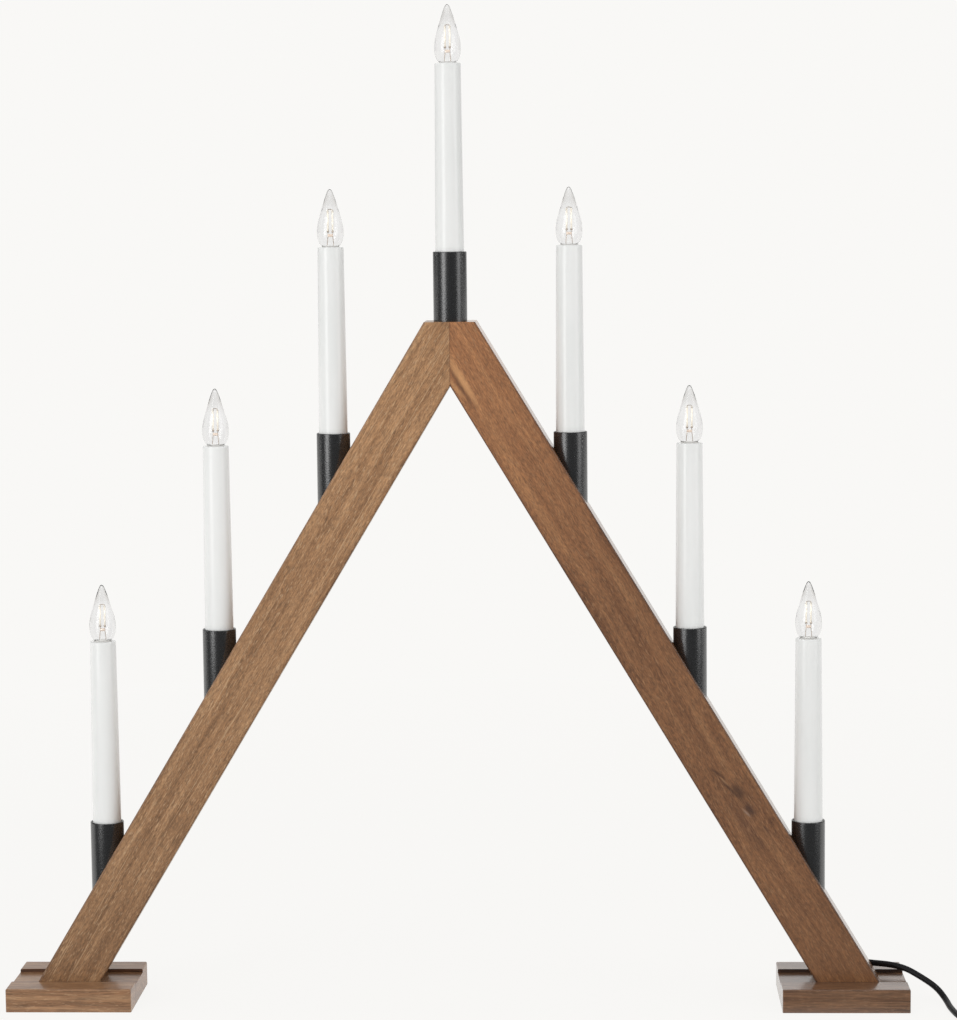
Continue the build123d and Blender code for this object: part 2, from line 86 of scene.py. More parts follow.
# radius and height by quarter turns: a steady spiral that turns back half way through each climb,
# and a tail that steps out and sinks to the plug; the points stand out by the spline's own inset
def coilPoints(s):
    stride = s["layerQuarters"] + s["climbQuarters"]
    wound = s["layers"] * s["layerQuarters"] + (s["layers"] - 1) * s["climbQuarters"]
    quarter = np.arange(0, (wound + s["tailQuarters"]) * s["pointsPerQuarter"] + 1) / s["pointsPerQuarter"]
    onCoil = np.minimum(quarter, wound)
    layer = np.minimum(onCoil // stride, s["layers"] - 1)
    level = layer + np.maximum(0, onCoil - layer * stride - s["layerQuarters"]) / s["climbQuarters"]
    half = s["climbQuarters"] / 2
    swing = np.abs((onCoil + half) % (2 * stride) - stride) - half
    tail = quarter - onCoil
    radius = s["coilRadius"] - (s["layerQuarters"] - swing) / 4 * s["coilStep"]
    radius = radius + np.minimum(tail, 1) * s["tailStep"] * s["coilStep"]
    height = s["coilBottom"] + level * s["coilStep"]
    height = height + np.maximum(0, tail - 1) / (s["tailQuarters"] - 1) * (s["plugHeight"] - height)
    radius = radius / math.cos(math.pi / 4 / s["pointsPerQuarter"])
    angle = np.radians(90 * quarter - 90)
    x = s["coilCenter"][0] + radius * np.cos(angle)
    y = s["coilCenter"][1] + radius * np.sin(angle)
    return np.stack([x, y, height], 1)


# one open spline through the route and the coil, which ends one diameter inside the plug
def makeLead(s):
    turns = coilPoints(s)
    plugEnd = turns[-1] + np.array([0, 2 * s["radius"], 0])
    points = np.concatenate([np.array(s["route"]), turns, plugEnd[None]]) * mm
    curve = bpy.data.curves.new("lead", "CURVE")
    curve.dimensions = "3D"
    curve.bevel_depth = 1.0  # the points' own radius sets the thickness
    curve.bevel_resolution = s["sectionSteps"]
    curve.resolution_u = s["lengthSteps"]
    curve.use_fill_caps = True
    spline = curve.splines.new("NURBS")
    spline.points.add(len(points) - 1)
    spline.points.foreach_set("co", np.column_stack([points, np.ones(len(points))]).ravel())
    spline.points.foreach_set("radius", np.full(len(points), s["radius"] * mm))
    spline.order_u = 3
    spline.use_endpoint_u = True
    lead = bpy.data.objects.new("lead", curve)
    bpy.context.scene.collection.objects.link(lead)
    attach(lead, "frame")
    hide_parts("lead_cord", "lead_coil")
    return lead


lead = makeLead(leadSettings)
print("lead laid")


# Finishes: helpers that add nodes to a material's tree
noiseMiddle = (0.3, 0.7)  # where most of a noise lies


# a new material with its node tree and its shader
def startFinish(name):
    material = bpy.data.materials.new(name)
    material.use_nodes = True
    tree = material.node_tree
    return material, tree, tree.nodes["Principled BSDF"]


# a node with its settings, its inputs filled with values or linked to sockets
def put(tree, kind, inputs=None, **settings):
    node = tree.nodes.new(kind)
    for key, value in settings.items():
        setattr(node, key, value)
    for key, value in (inputs or {}).items():
        if isinstance(value, bpy.types.NodeSocket):
            tree.links.new(value, node.inputs[key])
        else:
            node.inputs[key].default_value = value
    return node


# the object's own coordinates, turned about Y in degrees and shifted
def objectPlace(tree, turn=0.0, shift=(0, 0, 0)):
    place = put(tree, "ShaderNodeTexCoord").outputs["Object"]
    rotation = (0, math.radians(turn), 0)
    return put(tree, "ShaderNodeMapping", {"Vector": place, "Rotation": rotation, "Location": shift}).outputs[0]


# one operation on two vectors
def blendVector(tree, operation, first, second):
    return put(tree, "ShaderNodeVectorMath", {0: first, 1: second}, operation=operation).outputs["Vector"]


# one operation on two numbers
def blendNumber(tree, operation, first, second):
    return put(tree, "ShaderNodeMath", {0: first, 1: second}, operation=operation).outputs[0]


# noise on coordinates that are stretched by a scale for each axis
def cloud(tree, place, scale, detail=2.0, roughness=0.5):
    stretched = blendVector(tree, "MULTIPLY", place, scale)
    inputs = {"Vector": stretched, "Scale": 1.0, "Detail": detail, "Roughness": roughness}
    return put(tree, "ShaderNodeTexNoise", inputs)


# straight run from one pair of values to another, held at its ends
def between(tree, value, low, high, first=0.0, last=1.0):
    inputs = {"Value": value, "From Min": low, "From Max": high, "To Min": first, "To Max": last}
    return put(tree, "ShaderNodeMapRange", inputs).outputs["Result"]


# two colours mixed by an amount
def tint(tree, amount, first, second, blend="MIX"):
    node = put(tree, "ShaderNodeMix", {0: amount, 6: first, 7: second}, data_type="RGBA", blend_type=blend)
    return node.outputs[2]


# bumps of a strength and depth that follow a height
def addBump(tree, shader, height, strength, depth):
    bump = put(tree, "ShaderNodeBump", {"Height": height, "Strength": strength, "Distance": depth})
    tree.links.new(bump.outputs[0], shader.inputs["Normal"])


# red, green and blue with full cover
def solidColor(red, green, blue):
    return (red, green, blue, 1.0)


# ramp of colours along a value
def ramp(tree, amount, stops):
    node = put(tree, "ShaderNodeValToRGB", {"Fac": amount})
    elements = node.color_ramp.elements
    while len(elements) < len(stops):
        elements.new(0.5)
    for element, (position, color) in zip(elements, stops):
        element.position = position
        element.color = color
    return node.outputs["Color"]


# a long mark on a leg's front face, by its place across and along the grain, half sizes and lean in degrees
def mark(across, along, size, lean, color, amount, rings):
    return dict(at=(across, -0.0135, along), size=size, lean=lean, color=solidColor(*color), amount=amount, rings=rings)


# Wood: turn and shift lay each piece's grain along its own Z, with the piece's middle at zero
legShift = 0.1927
# the legs' edge value sets the strength of the painted shade along their long edges
leftLegWood = dict(
    turn=-31.0, shift=(legShift, 0, 0), pith=(0.03, 0.045, 0), rings=46.0, reach=(-0.06, 0.25), ends=(0.9, 1.14),
    deep=solidColor(0.19, 0.09, 0.036), middle=solidColor(0.31, 0.16, 0.07), pale=solidColor(0.42, 0.235, 0.112),
    fleck=solidColor(0.62, 0.41, 0.23), fleckAmount=0.45, lineAmount=0.42, fibre=(1500, 1500, 330),
    drift=(0.004, 0.004, 0), coat=0.45, seam=True, edge=0.35, patches=[])
# the knot's streaks, a pale low end and the streaks below the crown
rightLegMarks = [
    mark(-0.0025, 0.005, (0.005, 0.012, 0.019), 0.0, (0.085, 0.04, 0.024), 0.28, 2.0),
    mark(0.0036, 0.0226, (0.0042, 0.012, 0.008), 12.0, (0.06, 0.024, 0.011), 0.78, 5.0),
    mark(0.0036, 0.0107, (0.0036, 0.012, 0.0068), 8.0, (0.06, 0.026, 0.015), 0.85, 5.5),
    mark(0.0057, -0.0039, (0.0013, 0.012, 0.005), 10.0, (0.06, 0.026, 0.015), 0.55, 1.0),
    mark(0, -0.13, (0.06, 0.06, 0.12), 0.0, (0.26, 0.12, 0.046), 0.28, 0.0),
    mark(-0.0012, 0.0375, (0.0011, 0.012, 0.0062), 23.0, (0.05, 0.019, 0.008), 0.85, 1.0),
    mark(0.0003, 0.0258, (0.0008, 0.012, 0.0105), 13.0, (0.05, 0.019, 0.008), 0.85, 1.0),
    mark(-0.0002, 0.0314, (0.0006, 0.012, 0.004), 13.0, (0.34, 0.19, 0.09), 0.7, 1.0),
    mark(0.0012, 0.0099, (0.0008, 0.012, 0.0036), 13.0, (0.36, 0.24, 0.17), 0.7, 1.0),
    mark(-0.01, 0.292, (0.0014, 0.008, 0.015), 0.0, (0.1, 0.04, 0.016), 0.7, 1.0),
    mark(-0.0076, 0.295, (0.002, 0.008, 0.017), 0.0, (0.62, 0.32, 0.13), 0.95, 1.0),
    mark(-0.0126, 0.292, (0.0014, 0.008, 0.0075), 10.0, (0.56, 0.28, 0.11), 0.7, 1.0)]
rightLegWood = dict(
    turn=31.0, shift=(-legShift, 0, 0), pith=(-0.04, 0.05, 0), rings=34.0, reach=(0.14, 0.34), ends=(1.1, 1.95),
    deep=solidColor(0.125, 0.048, 0.016), middle=solidColor(0.195, 0.082, 0.03), pale=solidColor(0.26, 0.12, 0.046),
    fleck=solidColor(0.38, 0.2, 0.09), fleckAmount=0.45, lineAmount=0.15, fibre=(1500, 1500, 330),
    drift=(0.009, 0.009, 0), coat=0.9, seam=True, edge=0.6, patches=rightLegMarks)
leftFootWood = dict(
    turn=90.0, shift=(0, 0, 0), pith=(0.05, 0.02, 0), rings=56.0, reach=(-1, 1), ends=(1, 1),
    deep=solidColor(0.165, 0.075, 0.03), middle=solidColor(0.275, 0.14, 0.066), pale=solidColor(0.39, 0.22, 0.11),
    fleck=solidColor(0.5, 0.31, 0.17), fleckAmount=0.45, lineAmount=0.45, fibre=(1100, 1100, 70),
    drift=(0.003, 0.003, 0), coat=0.4, seam=False, patches=[])
rightFootWood = dict(leftFootWood, pith=(0.06, -0.01, 0.2), coat=1.0, deep=solidColor(0.09, 0.037, 0.014),
                     middle=solidColor(0.15, 0.068, 0.029), pale=solidColor(0.215, 0.107, 0.05),
                     fleck=solidColor(0.3, 0.17, 0.09))
# the edge, wall and lip values place painted shade on the legs' long edges and in the feet's grooves
woodShared = dict(
    coatRoughness=0.18, roughness=(0.52, 0.4), bump=(0.25, 0.0002), wander=(30, 30, 9), ringStretch=(1, 1, 0.08),
    toneScale=(70, 70, 8), strandScale=(520, 520, 22), fleckScale=(1500, 1500, 260), lineScale=(1300, 1300, 6),
    fleckRange=(0.58, 0.74), lineRange=(0.65, 0.72), toneShare=0.36, ringShare=0.1, strandShare=0.54,
    stops=(0.28, 0.5, 0.7), fibreRange=(0.3, 0.66), fibreShade=(0.55, 1.32), patchFade=(1.15, 0.15),
    patchWave=(0.45, 1.0), seamHalf=0.0004, seamAmount=0.42, edgeAcross=(0.0138, 0.0147), edgeDeep=(0.0122, 0.013),
    grooveWall=0.0136, grooveFloor=0.0108, wallFade=(0.0003, 0.0001), wallRise=0.0004, wallShadeAmount=0.8,
    lipFade=(0.0011, 0.0003), lipShadeAmount=0.55)


# dark and pale marks: each fades out from its middle in rings
def addPatches(tree, color, place, patches, w):
    for patch in patches:
        offset = blendVector(tree, "SUBTRACT", place, patch["at"])
        offset = put(tree, "ShaderNodeVectorRotate", {"Vector": offset, "Angle": math.radians(patch["lean"])},
                     rotation_type="Y_AXIS").outputs[0]
        offset = blendVector(tree, "DIVIDE", offset, patch["size"])
        far = put(tree, "ShaderNodeVectorMath", {0: offset}, operation="LENGTH").outputs["Value"]
        wave = blendNumber(tree, "SINE", blendNumber(tree, "MULTIPLY", far, patch["rings"]), 0.0)
        depth = blendNumber(tree, "MULTIPLY", between(tree, far, *w["patchFade"]),
                            between(tree, wave, -1.0, 1.0, *w["patchWave"]))
        color = tint(tree, blendNumber(tree, "MULTIPLY", depth, patch["amount"]), color, patch["color"])
    return color


# glue line of the mitre at x zero, and painted shade along the long edges of a leg
def seamAndEdgeShade(tree, color, place, spot, s, w):
    nearSeam = between(tree, blendNumber(tree, "ABSOLUTE", spot["X"], 0.0), w["seamHalf"], 0.0)
    color = tint(tree, blendNumber(tree, "MULTIPLY", nearSeam, w["seamAmount"]), color, s["deep"], "MULTIPLY")
    # painted shade: the faces darken toward the deep colour near the long edges
    across = put(tree, "ShaderNodeSeparateXYZ", {0: place}).outputs["X"]
    onEdge = between(tree, blendNumber(tree, "ABSOLUTE", across, 0.0), *w["edgeAcross"])
    onFace = between(tree, blendNumber(tree, "ABSOLUTE", spot["Y"], 0.0), *w["edgeDeep"])
    edge = blendNumber(tree, "MULTIPLY", blendNumber(tree, "MULTIPLY", onEdge, onFace), s["edge"])
    return tint(tree, edge, color, s["deep"], "MULTIPLY")


# painted shade on the back wall and along the front lip of a foot's groove
def grooveShade(tree, color, spot, s, w):
    # painted shadow on the groove's back wall, then a painted shade line along the front lip
    offWall = blendNumber(tree, "ABSOLUTE", blendNumber(tree, "SUBTRACT", spot["Y"], w["grooveWall"]), 0.0)
    wallShadeMask = blendNumber(tree, "MULTIPLY", between(tree, offWall, *w["wallFade"]),
                         between(tree, spot["Z"], w["grooveFloor"], w["grooveFloor"] + w["wallRise"]))
    color = tint(tree, blendNumber(tree, "MULTIPLY", wallShadeMask, w["wallShadeAmount"]), color, s["deep"], "MULTIPLY")
    offLip = blendNumber(tree, "ABSOLUTE", blendNumber(tree, "ADD", spot["Y"], w["grooveWall"]), 0.0)
    return tint(tree, between(tree, offLip, *w["lipFade"], 0.0, w["lipShadeAmount"]), color, s["deep"], "MULTIPLY")


# rings about a far pith, a slow tone, fine fibres, short pale flecks and long pale lines, all along the grain
def woodFinish(name, s, w):
    material, tree, shader = startFinish(name)
    place = objectPlace(tree, s["turn"], s["shift"])
    wander = cloud(tree, place, w["wander"], 1.0).outputs["Color"]
    push = blendVector(tree, "MULTIPLY", blendVector(tree, "SUBTRACT", wander, (0.5, 0.5, 0.5)), s["drift"])
    grain = blendVector(tree, "ADD", place, push)
    pith = blendVector(tree, "MULTIPLY", blendVector(tree, "ADD", grain, s["pith"]), w["ringStretch"])
    rings = put(tree, "ShaderNodeTexWave",
                {"Vector": pith, "Scale": s["rings"], "Distortion": 5.0, "Detail": 3.0, "Detail Scale": 0.6},
                wave_type="RINGS", rings_direction="Z").outputs["Fac"]
    tone = cloud(tree, grain, w["toneScale"], 3.0).outputs[0]
    fibre = cloud(tree, grain, s["fibre"], 3.0, 0.75).outputs[0]
    strand = cloud(tree, grain, w["strandScale"], 2.0, 0.6).outputs[0]
    flecks = between(tree, cloud(tree, grain, w["fleckScale"], 1.0).outputs[0], *w["fleckRange"])
    lines = between(tree, cloud(tree, grain, w["lineScale"], 1.0).outputs[0], *w["lineRange"])
    body = blendNumber(tree, "ADD", blendNumber(tree, "MULTIPLY", tone, w["toneShare"]),
                       blendNumber(tree, "MULTIPLY", rings, w["ringShare"]))
    body = blendNumber(tree, "ADD", body, blendNumber(tree, "MULTIPLY", strand, w["strandShare"]))
    color = ramp(tree, body, list(zip(w["stops"], (s["deep"], s["middle"], s["pale"]))))
    length = put(tree, "ShaderNodeSeparateXYZ", {0: place}).outputs["Z"]
    shade = blendNumber(tree, "MULTIPLY", between(tree, fibre, *w["fibreRange"], *w["fibreShade"]),
                        between(tree, length, *s["reach"], *s["ends"]))
    shaded = put(tree, "ShaderNodeVectorMath", {0: color, "Scale": shade}, operation="SCALE").outputs["Vector"]
    color = tint(tree, blendNumber(tree, "MULTIPLY", flecks, s["fleckAmount"]), shaded, s["fleck"])
    color = tint(tree, blendNumber(tree, "MULTIPLY", lines, s["lineAmount"]), color, s["fleck"])
    color = addPatches(tree, color, place, s["patches"], w)
    spot = put(tree, "ShaderNodeSeparateXYZ", {0: put(tree, "ShaderNodeTexCoord").outputs["Object"]}).outputs
    # legs get a dark glue line and painted edge shade, feet get painted shade in their grooves
    color = seamAndEdgeShade(tree, color, place, spot, s, w) if s["seam"] else grooveShade(tree, color, spot, s, w)
    tree.links.new(color, shader.inputs["Base Color"])
    tree.links.new(between(tree, fibre, *noiseMiddle, *w["roughness"]), shader.inputs["Roughness"])
    shader.inputs["Coat Weight"].default_value = s["coat"]
    shader.inputs["Coat Roughness"].default_value = w["coatRoughness"]
    addBump(tree, shader, blendNumber(tree, "ADD", fibre, flecks), *w["bump"])
    return material


# Cups: matt powder coat with a fine even grain
cupFinish = dict(color=solidColor(0.006, 0.0066, 0.008), grain=1500.0, roughness=(0.23, 0.32),
                 lift=2.1, speckRange=(0.45, 0.75), bump=(0.5, 0.00012), gloss=1.0, index=1.62)


# specks of a paler colour, which set the roughness and the bumps too
def powderFinish(name, s):
    material, tree, shader = startFinish(name)
    place = objectPlace(tree)
    speck = cloud(tree, place, (s["grain"],) * 3, 2.0, 0.6).outputs[0]
    paler = tuple(min(1.0, value * s["lift"]) for value in s["color"])
    color = tint(tree, between(tree, speck, *s["speckRange"]), s["color"], paler)
    tree.links.new(color, shader.inputs["Base Color"])
    tree.links.new(between(tree, speck, *noiseMiddle, *s["roughness"]), shader.inputs["Roughness"])
    shader.inputs["Specular IOR Level"].default_value = s["gloss"]
    shader.inputs["IOR"].default_value = s["index"]
    addBump(tree, shader, speck, *s["bump"])
    return material


# Smooth finishes: two close colours in soft clouds, and a roughness that follows them
smoothSettings = dict(
    sleeveWhite=dict(colors=(solidColor(0.79, 0.8, 0.79), solidColor(0.83, 0.835, 0.825)), scale=(60, 60, 14),
                     roughness=(0.17, 0.25), metal=0.0, bump=0.05),
    socketBrass=dict(colors=(solidColor(0.62, 0.42, 0.16), solidColor(0.74, 0.54, 0.24)), scale=(700, 700, 700),
                     roughness=(0.22, 0.4), metal=1.0, bump=0.05),
    capBrass=dict(colors=(solidColor(0.68, 0.58, 0.37), solidColor(0.78, 0.69, 0.48)), scale=(600, 600, 1500),
                   roughness=(0.18, 0.35), metal=1.0, bump=0.05),
    pinNickel=dict(colors=(solidColor(0.6, 0.58, 0.53), solidColor(0.72, 0.71, 0.67)), scale=(900, 120, 900),
                   roughness=(0.2, 0.36), metal=1.0, bump=0.05),
    screwZinc=dict(colors=(solidColor(0.45, 0.45, 0.44), solidColor(0.6, 0.6, 0.58)), scale=(900, 900, 900),
                   roughness=(0.3, 0.5), metal=1.0, bump=0.08),
    socketPlastic=dict(colors=(solidColor(0.76, 0.74, 0.68), solidColor(0.83, 0.81, 0.75)), scale=(900, 900, 900),
                       roughness=(0.35, 0.5), metal=0.0, bump=0.06),
    capInsulator=dict(colors=(solidColor(0.06, 0.058, 0.055), solidColor(0.1, 0.097, 0.092)), scale=(900, 900, 900),
                      roughness=(0.3, 0.45), metal=0.0, bump=0.06),
    wireJacket=dict(colors=(solidColor(0.7, 0.67, 0.61), solidColor(0.79, 0.76, 0.7)), scale=(1200, 1200, 1200),
                    roughness=(0.38, 0.5), metal=0.0, bump=0.05),
    leadJacket=dict(colors=(solidColor(0.007, 0.007, 0.008), solidColor(0.013, 0.013, 0.014)), scale=(900, 900, 900),
                    roughness=(0.34, 0.48), metal=0.0, bump=0.08, gloss=0.2),
    plugRubber=dict(colors=(solidColor(0.012, 0.012, 0.013), solidColor(0.024, 0.024, 0.025)), scale=(2200, 2200, 2200),
                    roughness=(0.42, 0.58), metal=0.0, bump=0.18),
    strandEnd=dict(colors=(solidColor(0.74, 0.69, 0.61), solidColor(0.82, 0.78, 0.7)), scale=(900, 900, 900),
                   roughness=(0.35, 0.5), metal=0.0, bump=0.05),
    supportWire=dict(colors=(solidColor(0.36, 0.3, 0.25), solidColor(0.5, 0.43, 0.37)), scale=(900, 900, 900),
                     roughness=(0.35, 0.5), metal=0.6, bump=0.05),
    pressedFoot=dict(colors=(solidColor(0.74, 0.73, 0.7), solidColor(0.82, 0.81, 0.79)), scale=(500, 500, 500),
                     roughness=(0.3, 0.45), metal=0.0, bump=0.05),
    beadGlass=dict(colors=(solidColor(0.72, 0.58, 0.48), solidColor(0.82, 0.7, 0.6)), scale=(900, 900, 900),
                   roughness=(0.2, 0.3), metal=0.0, bump=0.05),
    dowelBeech=dict(colors=(solidColor(0.42, 0.27, 0.15), solidColor(0.56, 0.39, 0.24)), scale=(60, 900, 900),
                    roughness=(0.5, 0.65), metal=0.0, bump=0.1))


smoothShared = dict(colorRange=(0.35, 0.65), bumpDepth=0.0001, gloss=0.5)


# one soft noise mixes the colours and sets roughness and bumps
def smoothFinish(name, s, w):
    material, tree, shader = startFinish(name)
    patchy = cloud(tree, objectPlace(tree), s["scale"], 3.0, 0.6).outputs[0]
    tree.links.new(tint(tree, between(tree, patchy, *w["colorRange"]), *s["colors"]), shader.inputs["Base Color"])
    tree.links.new(between(tree, patchy, *noiseMiddle, *s["roughness"]), shader.inputs["Roughness"])
    shader.inputs["Metallic"].default_value = s["metal"]
    shader.inputs["Specular IOR Level"].default_value = s.get("gloss", w["gloss"])
    addBump(tree, shader, patchy, s["bump"], w["bumpDepth"])
    return material


# Bulb glass: clear, its faint tint in slow clouds, greyer where the sight line runs longer in the wall;
# shadow rays pass it with the tint alone
glassSettings = dict(tintLow=solidColor(0.98, 0.982, 0.988), tintHigh=solidColor(0.992, 0.994, 0.998),
                     index=1.34, waves=90.0, roughness=(0.0, 0.012), kept=solidColor(0.52, 0.5, 0.47), density=100.0)


# glass on the surface, absorption in the wall, and a tinted clear pass for shadow rays
def glassFinish(name, s):
    material, tree, shader = startFinish(name)
    ripple = cloud(tree, objectPlace(tree), (s["waves"],) * 3, 1.0).outputs[0]
    color = tint(tree, ripple, s["tintLow"], s["tintHigh"])
    tree.links.new(color, shader.inputs["Base Color"])
    tree.links.new(between(tree, ripple, *noiseMiddle, *s["roughness"]), shader.inputs["Roughness"])
    shader.inputs["IOR"].default_value = s["index"]
    shader.inputs["Transmission Weight"].default_value = 1.0
    clear = put(tree, "ShaderNodeBsdfTransparent", {"Color": color}).outputs[0]
    shadow = put(tree, "ShaderNodeLightPath").outputs["Is Shadow Ray"]
    mixed = put(tree, "ShaderNodeMixShader", {0: shadow, 1: shader.outputs[0], 2: clear}).outputs[0]
    tree.links.new(mixed, tree.nodes["Material Output"].inputs["Surface"])
    wall = put(tree, "ShaderNodeVolumeAbsorption", {"Color": s["kept"], "Density": s["density"]}).outputs[0]
    tree.links.new(wall, tree.nodes["Material Output"].inputs["Volume"])
    return material


# Filament: warm glow with the fine banding of its winding
glowSettings = dict(color=solidColor(0.85, 0.79, 0.68), glow=solidColor(1.0, 0.95, 0.89), strength=(0.1, 0.16),
                    roughness=(0.6, 0.45), bands=130.0, distortion=0.4)


# bands along Z that set the glow and the roughness
def glowFinish(name, s):
    material, tree, shader = startFinish(name)
    inputs = {"Vector": objectPlace(tree), "Scale": s["bands"], "Distortion": s["distortion"]}
    bands = put(tree, "ShaderNodeTexWave", inputs, bands_direction="Z").outputs["Fac"]
    shader.inputs["Base Color"].default_value = s["color"]
    shader.inputs["Emission Color"].default_value = s["glow"]
    tree.links.new(between(tree, bands, 0.0, 1.0, *s["strength"]), shader.inputs["Emission Strength"])
    tree.links.new(between(tree, bands, 0.0, 1.0, *s["roughness"]), shader.inputs["Roughness"])
    return material


woods = dict(left_leg=woodFinish("leftLegStain", leftLegWood, woodShared),
             right_leg=woodFinish("rightLegStain", rightLegWood, woodShared),
             left_foot=woodFinish("leftFootStain", leftFootWood, woodShared),
             right_foot=woodFinish("rightFootStain", rightFootWood, woodShared))
woods["left_wire_cover"] = woods["left_leg"]
woods["right_wire_cover"] = woods["right_leg"]
smooth = {name: smoothFinish(name, settings, smoothShared) for name, settings in smoothSettings.items()}
cupBlack = powderFinish("cupPowder", cupFinish)
clearGlass = glassFinish("bulbClear", glassSettings)
filamentGlow = glowFinish("filamentGlow", glowSettings)
print("finishes mixed")


# CAD nodes that stay: each shows its own shape in a finer finish
def dress(node, material):
    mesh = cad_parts[node].data
    mesh.materials.clear()
    mesh.materials.append(material)


for node, material in woods.items():
    dress(node, material)
kept = dict(apex_dowels="dowelBeech", foot_screws="screwZinc", series_wiring="wireJacket", socket_shells="socketBrass",
            socket_bases="socketPlastic", socket_contacts="socketBrass", cord_gland="plugRubber",
            cord_tie="plugRubber", plug_body="plugRubber", plug_pins="pinNickel")
kept.update({"bulb_cap_%d" % number: "capBrass" for number in candleNumbers})
kept.update({"bulb_contact_%d" % number: "capInsulator" for number in candleNumbers})
for node, finish in kept.items():
    dress(node, smooth[finish])
lead.data.materials.append(smooth["leadJacket"])
print("kept nodes dressed")


mergeDistance = 1e-7


# a mesh object from grids of points, its doubles merged so that seams and poles close
def meshPiece(name, grids, materials):
    points = np.concatenate([grid.reshape(-1, 3) for grid, closed, slot in grids])
    quads = []
    slots = []
    first = 0
    for grid, closed, slot in grids:
        rows, columns = grid.shape[:2]
        row = np.arange(rows if closed else rows - 1)[:, None]
        column = np.arange(columns)[None, :]
        below = row * columns
        above = (row + 1) % rows * columns
        beside = (column + 1) % columns
        faces = np.stack([below + column, below + beside, above + beside, above + column], -1).reshape(-1, 4)
        quads.append(faces + first)
        slots.append(np.full(len(faces), slot))
        first += rows * columns
    mesh = bpy.data.meshes.new(name)
    mesh.from_pydata(points * mm, [], np.concatenate(quads).tolist())
    for material in materials:
        mesh.materials.append(material)
    mesh.polygons.foreach_set("material_index", np.concatenate(slots).astype(np.int32))
    mesh.polygons.foreach_set("use_smooth", np.ones(len(mesh.polygons), bool))
    sheet = bmesh.new()
    sheet.from_mesh(mesh)
    bmesh.ops.remove_doubles(sheet, verts=sheet.verts, dist=mergeDistance)
    sheet.to_mesh(mesh)
    sheet.free()
    piece = bpy.data.objects.new(name, mesh)
    bpy.context.scene.collection.objects.link(piece)
    return piece


# profile of radius and height carried round an upright axis at x
def turnedGrid(profile, x, base, segments):
    angle = np.linspace(0, 2 * np.pi, segments, endpoint=False)[None, :]
    radius = np.asarray(profile)[:, 0][:, None]
    height = np.asarray(profile)[:, 1][:, None] + base
    return np.stack([x + radius * np.cos(angle), radius * np.sin(angle), height + 0 * angle], -1)


# round section carried along a path in the XZ plane, its ends drawn in to a point
def tubeGrid(path, radius, x, base, segments):
    path = np.asarray(path, float)
    way = np.gradient(path, axis=0)
    way /= np.linalg.norm(way, axis=1)[:, None]
    ends = np.ones(len(path))
    ends[[0, -1]] = 0
    angle = np.linspace(0, 2 * np.pi, segments, endpoint=False)[None, :]
    across = (radius * ends)[:, None] * np.cos(angle)
    px = path[:, 0][:, None] - across * way[:, 1][:, None]
    pz = path[:, 1][:, None] + across * way[:, 0][:, None]
    depth = (radius * ends)[:, None] * np.sin(angle)
    return np.stack([px + x, -depth, pz + base], -1)


# smooth cubic through points, by chord length, with set directions at both ends
def smoothCurve(points, startWay, endWay, count):
    points = np.asarray(points, float)
    knots = np.concatenate([[0], np.cumsum(np.linalg.norm(np.diff(points, axis=0), axis=1))])
    size = len(points)
    gaps = np.diff(knots)
    matrix = np.eye(size)
    right = np.zeros((size, 2))
    right[0], right[-1] = startWay, endWay
    inner = np.arange(1, size - 1)
    matrix[inner, inner - 1] = gaps[1:]
    matrix[inner, inner] = 2 * (gaps[1:] + gaps[:-1])
    matrix[inner, inner + 1] = gaps[:-1]
    slopes = np.diff(points, axis=0) / gaps[:, None]
    right[inner] = 3 * (gaps[1:, None] * slopes[:-1] + gaps[:-1, None] * slopes[1:])
    ways = np.linalg.solve(matrix, right)
    spot = np.linspace(0, knots[-1], count)
    span = np.clip(np.searchsorted(knots, spot, side="right") - 1, 0, size - 2)
    t = ((spot - knots[span]) / gaps[span])[:, None]
    gap = gaps[span][:, None]
    return ((1 + 2 * t) * (1 - t) ** 2 * points[span] + t * (1 - t) ** 2 * gap * ways[span]
            + t * t * (3 - 2 * t) * points[span + 1] + t * t * (t - 1) * gap * ways[span + 1])


# quarter rounds at each corner of a closed outline, by a radius for each corner
def roundedOutline(corners, steps=6):
    count = len(corners)
    outline = []
    for index in range(count):
        point = np.array(corners[index][:2], float)
        radius = corners[index][2]
        before = np.array(corners[index - 1][:2], float) - point
        after = np.array(corners[(index + 1) % count][:2], float) - point
        if radius == 0:
            outline.append(point[None])
            continue
        before = before / np.linalg.norm(before)
        after = after / np.linalg.norm(after)
        turn = np.arccos(np.clip(before @ after, -1, 1))
        reach = radius / np.tan(turn / 2)
        t = np.linspace(0, 1, steps)[:, None]
        start = point + before * reach
        end = point + after * reach
        outline.append((1 - t) ** 2 * start + 2 * t * (1 - t) * point + t * t * end)
    return np.concatenate(outline)


# each candle's axis and heights, read from its own nodes in the frame
def candlePlace(number):
    cupLow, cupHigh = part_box("holder_cup_%d" % number)
    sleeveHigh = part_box("candle_sleeve_%d" % number)[1]
    x = (cupLow[0] + cupHigh[0]) / 2 / mm
    return x, cupHigh[2] / mm, sleeveHigh[2] / mm


# Cups: straight tubes with a softly rounded rim and a floor inside
cupSettings = dict(radius=9.25, bore=8.25, length=50.0, floor=12.0, floorThick=2.0, hole=4.0, rim=0.45,
                   footRound=0.3, floorRound=0.2, segments=96)


